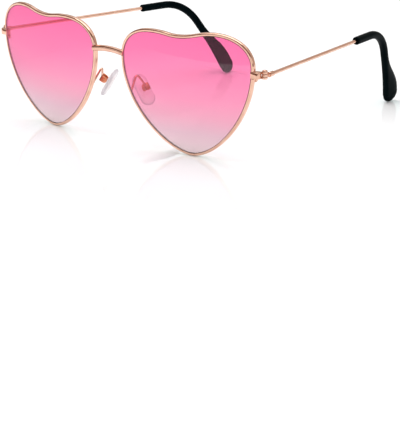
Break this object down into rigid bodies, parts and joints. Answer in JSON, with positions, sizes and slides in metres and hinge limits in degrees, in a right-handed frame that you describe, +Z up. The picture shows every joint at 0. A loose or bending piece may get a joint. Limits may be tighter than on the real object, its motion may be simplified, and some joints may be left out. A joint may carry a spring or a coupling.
{
  "type": "heart shaped sunglasses",
  "caption": "Metal sunglasses with heart shaped tinted lenses, an arched bridge, rocking nose pads and temples that fold on screwed hinges.",
  "frame": {"origin": "on the floor that the glasses stand on, in the middle of their width and depth", "axes": "+X to the wearer's left, +Y from the lenses back along the temples, +Z up"},
  "size_m": [0.1416, 0.136, 0.05],
  "materials": {
    "rose_gold_metal": "polished rose gold plating",
    "copper_metal": "bright copper plating",
    "pink_lens": "clear tint, deep pink at the top and pale at the bottom",
    "clear_silicone": "translucent, slightly frosted",
    "black_plastic": "smooth satin gloss"
  },
  "bodies": {
    "front": {"rim_left": "rose_gold_metal", "rim_right": "rose_gold_metal", "bridge": "rose_gold_metal", "end_piece_left": "rose_gold_metal", "end_piece_right": "rose_gold_metal", "rim_lock_left": "rose_gold_metal", "rim_lock_right": "rose_gold_metal", "nose_pad_arm_left": "rose_gold_metal", "nose_pad_arm_right": "rose_gold_metal", "rim_lock_screws": "rose_gold_metal", "hinge_screws": "rose_gold_metal", "nose_pad_box_left": "copper_metal", "nose_pad_box_right": "copper_metal", "nose_pad_screws": "copper_metal", "lens_left": "pink_lens", "lens_right": "pink_lens"},
    "left_temple": {"temple_hinge_left": "rose_gold_metal", "temple_wire_left": "rose_gold_metal", "temple_tip_left": "black_plastic"},
    "right_temple": {"temple_hinge_right": "rose_gold_metal", "temple_wire_right": "rose_gold_metal", "temple_tip_right": "black_plastic"},
    "left_pad": {"nose_pad_core_left": "copper_metal", "nose_pad_left": "clear_silicone"},
    "right_pad": {"nose_pad_core_right": "copper_metal", "nose_pad_right": "clear_silicone"}
  },
  "joints": [
    {"name": "left_temple_fold", "type": "hinge", "parent": "front", "child": "left_temple", "pos_m": [0.069, -0.05639, 0.03552], "axis": [0, 0, 1], "range_deg": [0, 78]},
    {"name": "right_temple_fold", "type": "hinge", "parent": "front", "child": "right_temple", "pos_m": [-0.069, -0.05639, 0.03552], "axis": [0, 0, -1], "range_deg": [0, 68]},
    {"name": "left_pad_rock", "type": "hinge", "parent": "front", "child": "left_pad", "pos_m": [0.0114, -0.0575, 0.0228], "axis": [0.3069, 0.9272, 0.2149], "range_deg": [-8, 8]},
    {"name": "right_pad_rock", "type": "hinge", "parent": "front", "child": "right_pad", "pos_m": [-0.0114, -0.0575, 0.0228], "axis": [-0.3069, 0.9272, 0.2149], "range_deg": [-8, 8]}
  ]
}
